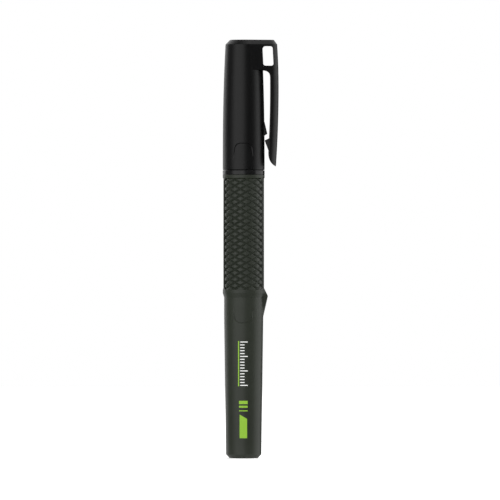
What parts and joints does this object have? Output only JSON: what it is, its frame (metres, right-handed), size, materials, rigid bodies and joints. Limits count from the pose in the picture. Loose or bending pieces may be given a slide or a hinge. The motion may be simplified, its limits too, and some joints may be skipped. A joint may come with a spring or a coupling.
{
  "type": "chisel tip permanent marker",
  "caption": "Capped marker with a chisel nib: round barrel with diamond grip and anti-roll fin, pull-off cap with a bowed pocket clip and a lanyard window.",
  "frame": {"origin": "centre of the barrel's flat rear end, on the marker's axis", "axes": "+Z along the axis towards the cap's top, +X towards the pocket clip and the anti-roll fin, -Y out of the front seen in the picture"},
  "size_m": [0.0194, 0.0146, 0.145],
  "materials": {
    "barrel_plastic": "moulded satin, dark olive grey",
    "black_plastic": "satin gloss, black",
    "nib_fibre": "dense ink-soaked fibre",
    "reservoir_fibre": "ink-soaked polyester fibre",
    "clear_film": "thin clear wrap",
    "natural_plastic": "undyed moulding",
    "lime_ink": "printed on the barrel",
    "white_ink": "printed on the barrel"
  },
  "bodies": {
    "marker": {"barrel": "barrel_plastic", "nib_section": "black_plastic", "chisel_nib": "nib_fibre", "ink_reservoir": "reservoir_fibre", "reservoir_film": "clear_film"},
    "cap": {"cap_shell": "black_plastic", "inner_cap": "natural_plastic"},
    "clip": {"pocket_clip": "black_plastic"}
  },
  "joints": [
    {"name": "cap_pull", "type": "slide", "parent": "marker", "child": "cap", "axis": [0, 0, 1], "range_m": [0, 0.045]},
    {"name": "clip_flex", "type": "hinge", "parent": "cap", "child": "clip", "pos_m": [0.01065, 0, 0.13215], "axis": [0, -1, 0], "range_deg": [0, 5], "stiffness_Nm_per_rad": 1.5}
  ]
}
